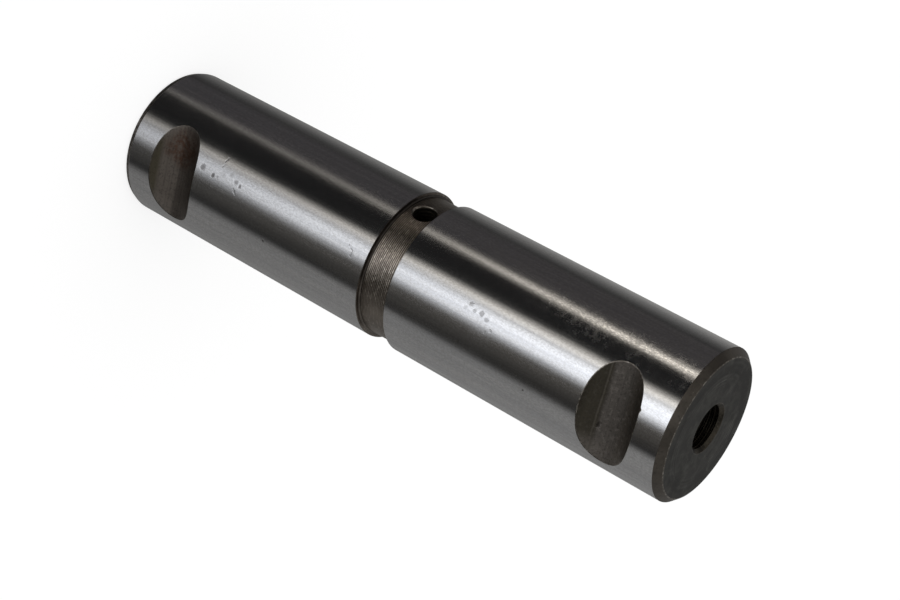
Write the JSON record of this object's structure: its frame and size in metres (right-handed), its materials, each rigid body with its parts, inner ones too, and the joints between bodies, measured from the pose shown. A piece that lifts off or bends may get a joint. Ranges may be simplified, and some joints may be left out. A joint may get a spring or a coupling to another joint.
{
  "type": "leaf spring pin",
  "caption": "Ground steel pin with a grease groove round its middle, a cross-drilled grease outlet, a tapped end and a transverse bolt notch near each end.",
  "frame": {"origin": "centre of the plain end face, on which the pin stands", "axes": "+Z along the pin's axis to the tapped end; both bolt notches face -Y and run along X"},
  "size_m": [0.03, 0.03, 0.1285],
  "materials": {
    "ground_steel": "cylindrically ground outside, turned brown-grey end, groove and chamfers, milled notches with light rust"
  },
  "bodies": {
    "root": {"spring_pin": "ground_steel"}
  },
  "joints": []
}
